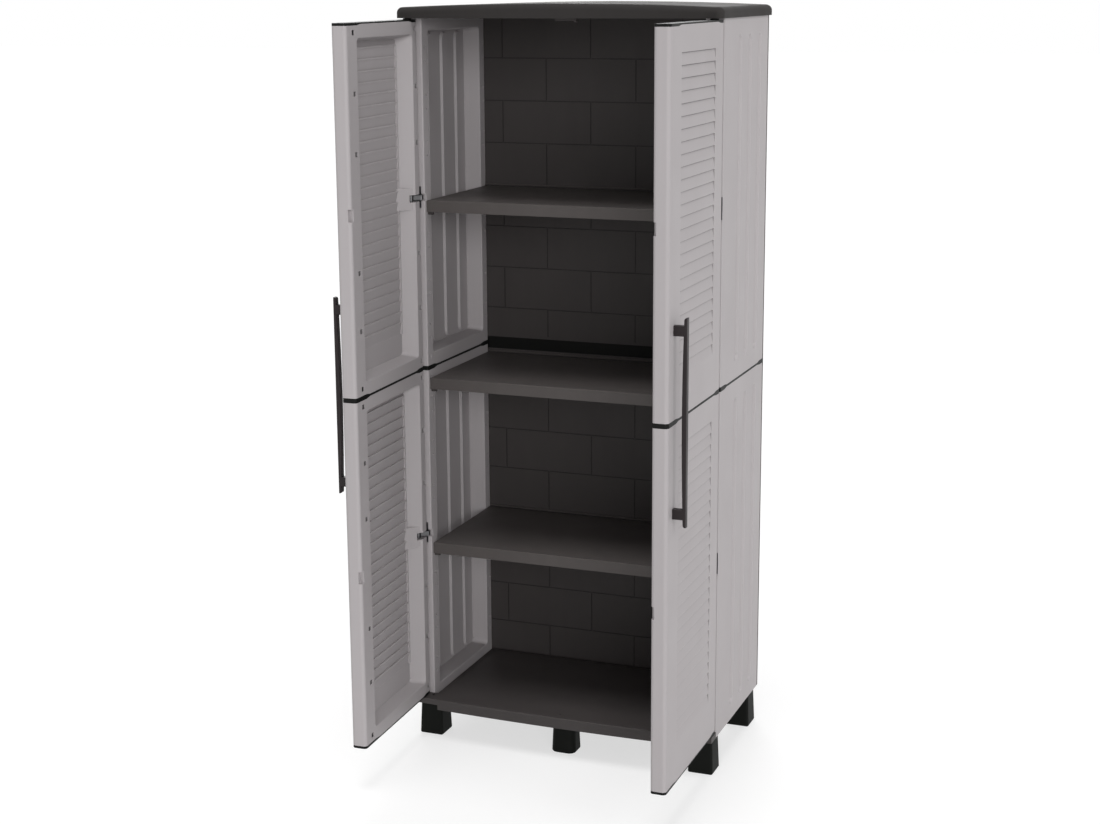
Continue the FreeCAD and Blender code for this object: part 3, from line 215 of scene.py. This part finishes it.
class Surface:
    """A material under construction: its nodes, with short ways to add them."""

    def __init__(self, name):
        self.material = bpy.data.materials.new(name)
        self.material.use_nodes = True
        self.nodes = self.material.node_tree.nodes
        self.links = self.material.node_tree.links
        self.shader = self.nodes["Principled BSDF"]
        self.place = self.nodes.new("ShaderNodeTexCoord").outputs["Object"]

    def noise(self, scale, detail=2.0, stretch=(1, 1, 1)):
        """Cloudy noise: scale is in waves per metre."""
        mapping = self.nodes.new("ShaderNodeMapping")
        mapping.inputs["Scale"].default_value = stretch
        self.links.new(self.place, mapping.inputs["Vector"])
        node = self.nodes.new("ShaderNodeTexNoise")
        node.inputs["Scale"].default_value = scale
        node.inputs["Detail"].default_value = detail
        self.links.new(mapping.outputs["Vector"], node.inputs["Vector"])
        return node.outputs["Fac"]

    def spread(self, value, low, high, first=0.3, last=0.7):
        """A value carried from first..last, by default a noise's range, to low..high."""
        node = self.nodes.new("ShaderNodeMapRange")
        node.inputs["From Min"].default_value = first
        node.inputs["From Max"].default_value = last
        node.inputs["To Min"].default_value = low
        node.inputs["To Max"].default_value = high
        self.links.new(value, node.inputs["Value"])
        return node.outputs["Result"]

    def around(self, value, middle, swing):
        """A noise carried to a range about a middle."""
        return self.spread(value, middle - swing, middle + swing)

    def maths(self, operation, a, b):
        """Two values put together."""
        node = self.nodes.new("ShaderNodeMath")
        node.operation = operation
        for socket, value in zip(node.inputs, (a, b)):
            if isinstance(value, float):
                socket.default_value = value
            else:
                self.links.new(value, socket)
        return node.outputs["Value"]

    def brighter(self, value, gain):
        """A value times one plus a gain."""
        return self.maths("MULTIPLY", value, self.maths("ADD", gain, 1.0))

    def tinted(self, colour, value):
        """The shader's colour, lighter and darker with a value."""
        shade = self.nodes.new("ShaderNodeHueSaturation")
        shade.inputs["Color"].default_value = (*colour, 1)
        self.links.new(value, shade.inputs["Value"])
        self.links.new(shade.outputs["Color"], self.shader.inputs["Base Color"])

    def edges(self, radius):
        """1 on sharp edges, 0 on open faces."""
        rounded = self.nodes.new("ShaderNodeBevel")
        rounded.samples = EDGE_SAMPLES
        rounded.inputs["Radius"].default_value = radius
        true = self.nodes.new("ShaderNodeNewGeometry")
        dot = self.nodes.new("ShaderNodeVectorMath")
        dot.operation = "DOT_PRODUCT"
        self.links.new(rounded.outputs["Normal"], dot.inputs[0])
        self.links.new(true.outputs["Normal"], dot.inputs[1])
        return self.spread(dot.outputs["Value"], 1.0, 0.0, EDGE_FULL, EDGE_NONE)

    def tilt(self):
        """How far a surface looks up, from -1 for an underside to 1 for a top."""
        split = self.nodes.new("ShaderNodeSeparateXYZ")
        self.links.new(self.nodes.new("ShaderNodeNewGeometry").outputs["Normal"],
                       split.inputs["Vector"])
        return split.outputs["Z"]

    def painted_groove_shade(self, shade_reach, darkest_shade, upright_shade, steep_top_shade):
        """1 on open faces, down to the darkest in grooves, slots and inner corners: painted
        shade.

        Faces that look up a little take it in full, within a reach of the groove's walls.
        Upright faces keep a given share of it, and undersides take hardly any. Faces that look
        up steeply keep another given share.
        """
        node = self.nodes.new("ShaderNodeAmbientOcclusion")
        node.samples = GROOVE_SHADE_SAMPLES
        node.only_local = True
        node.inputs["Distance"].default_value = shade_reach
        groove_shade_loss = self.spread(node.outputs["AO"], 1 - darkest_shade, 0.0, GROOVE_SHADE_FULL, GROOVE_SHADE_NONE)
        tilt = self.tilt()
        share = self.maths("ADD",
                           self.spread(tilt, UNDERSIDE_SHADE, upright_shade, *TILT_UNDER),
                           self.spread(tilt, 0.0, 1.0 - upright_shade, *TILT_UP))
        share = self.maths("MULTIPLY", share, self.spread(tilt, 1.0, steep_top_shade, *TILT_STEEP))
        return self.maths("SUBTRACT", 1.0, self.maths("MULTIPLY", groove_shade_loss, share))

    def bump(self, height, strength, distance, before=None):
        """Relief, on top of an earlier one."""
        node = self.nodes.new("ShaderNodeBump")
        node.inputs["Strength"].default_value = strength
        node.inputs["Distance"].default_value = distance
        self.links.new(height, node.inputs["Height"])
        if before:
            self.links.new(before, node.inputs["Normal"])
        return node.outputs["Normal"]


def plastic(name, colour, roughness, specular, mottling, grain, waves=0.0, wear_and_highlight=0.25,
            darkest_shade=0.1, upright_shade=0.9, steep_top_shade=1.0, shade_reach=0.008, painted_top_light=0.0):
    """Moulded plastic.

    Faint clouds, flow streaks and specks in the colour, uneven gloss, an eroded grain of
    about a millimetre, slow waves where a panel is blown, edges paler from wear and a painted
    highlight and duller from wear, painted shade in grooves, and painted light, paler in
    patches, on faces that look up. Mottling, grain, waves and the strengths of the edges and of
    the top light say how strong each is, and four more arguments describe the painted groove
    shade.
    """
    made = Surface(name)
    made.shader.inputs["Specular IOR Level"].default_value = specular

    clouds = made.around(made.noise(CLOUDS, detail=3.0), 1, mottling)
    streaks = made.around(made.noise(STREAKS, stretch=STREAK_STRETCH), 1, mottling / 2)
    specks = made.around(made.noise(SPECKS), 1, mottling / 2)
    value = made.maths("MULTIPLY", made.maths("MULTIPLY", clouds, streaks), specks)

    # Paler, rougher edges: partly wear, partly a painted highlight
    worn_and_highlit = made.maths("MULTIPLY", made.edges(EDGE_WIDTH),
                      made.spread(made.noise(WEAR_AND_HIGHLIGHT_PATCHES), LEAST_WORN_AND_HIGHLIT, 1.0))
    value = made.brighter(value, made.maths("MULTIPLY", worn_and_highlit, wear_and_highlight))
    # Painted shade in grooves, slots and inner corners
    value = made.maths("MULTIPLY", value, made.painted_groove_shade(shade_reach, darkest_shade, upright_shade, steep_top_shade))
    # Painted light on faces that look up, paler in patches
    if painted_top_light:
        paler_tops = made.maths("MULTIPLY", made.spread(made.tilt(), 0.0, painted_top_light, *TILT_TOP_LIT),
                          made.around(made.noise(TOP_LIGHT_PATCHES, detail=4.0), 1, TOP_LIGHT_SPREAD))
        value = made.brighter(value, paler_tops)
    made.tinted(colour, value)

    gloss = made.around(made.noise(GLOSS_PATCHES, detail=4.0), roughness, GLOSS_SPREAD)
    made.links.new(made.maths("ADD", gloss, made.maths("MULTIPLY", worn_and_highlit, WORN_ROUGHNESS)),
                   made.shader.inputs["Roughness"])

    relief = None
    if waves:
        relief = made.bump(made.noise(PANEL_WAVES, detail=1.0), waves, WAVE_DEPTH)
    relief = made.bump(made.noise(GRAIN), grain, GRAIN_DEPTH, relief)
    made.links.new(relief, made.shader.inputs["Normal"])
    return made.material


def steel():
    """Zinc-plated steel with a cloudy finish and fine brushing."""
    made = Surface("steel")
    made.shader.inputs["Metallic"].default_value = 1.0
    made.tinted(STEEL, made.spread(made.noise(STEEL_CLOUDS, detail=3.0), *STEEL_SHADE))
    made.links.new(made.spread(made.noise(STEEL_GLOSS), *STEEL_ROUGHNESS),
                   made.shader.inputs["Roughness"])
    brushing = made.noise(STEEL_BRUSHING, stretch=STEEL_BRUSHING_STRETCH)
    made.links.new(made.bump(brushing, STEEL_BRUSHING_STRENGTH, STEEL_BRUSHING_DEPTH),
                   made.shader.inputs["Normal"])
    return made.material


def materials():
    """Every material, by name."""
    plastics = {
        # The panel's edges take a strong painted highlight, and its steep tops none of the
        # painted groove shade, so its ledges look lit
        "panel_plastic": dict(colour=PANEL_GREY, roughness=0.55, specular=0.3, mottling=0.012,
                              grain=0.3, waves=0.1, wear_and_highlight=0.6, darkest_shade=0.2, upright_shade=0.12,
                              steep_top_shade=0.0, shade_reach=0.006),
        # The frame's and the shelves' tops are paled with painted top light
        "frame_plastic": dict(colour=FRAME_DARK, roughness=0.5, specular=0.2, mottling=0.05,
                              grain=0.4, painted_top_light=0.3),
        "lid_plastic": dict(colour=LID_DARK, roughness=0.6, specular=0.06, mottling=0.05,
                            grain=0.4, waves=0.1),
        "shelf_plastic": dict(colour=SHELF_DARK, roughness=0.5, specular=0.2, mottling=0.05,
                              grain=0.4, painted_top_light=0.12),
        "handle_plastic": dict(colour=HANDLE_DARK, roughness=0.42, specular=0.15,
                               mottling=0.05, grain=0.25),
        "foot_plastic": dict(colour=FOOT_BLACK, roughness=0.55, specular=0.06, mottling=0.08,
                             grain=0.3),
        "joiner_plastic": dict(colour=JOINER_BLACK, roughness=0.5, specular=0.1,
                               mottling=0.06, grain=0.3),
        "peg_plastic": dict(colour=FRAME_DARK, roughness=0.5, specular=0.2, mottling=0.05,
                            grain=0.2),
    }
    made = {name: plastic(name, **finish) for name, finish in plastics.items()}
    made["steel"] = steel()
    return made


def dress():
    """Give each node of the model its material."""
    made = materials()
    slots = {row["node"]: row["material_slot"] for row in frame["record"]["subparts"]}
    for name, node in frame["nodes"].items():
        slot = slots[name]
        choice = slot
        if name.endswith("_shelf"):
            choice = "shelf_plastic"
        if name == "lid":
            choice = "lid_plastic"
        node.data.materials.clear()
        node.data.materials.append(made[choice])


camera()
surroundings()
for light_name, (azimuth, height, level) in LIGHTS.items():
    light(light_name, azimuth, height, level)
floor()
bpy.context.scene.view_settings.view_transform = "Standard"
dress()
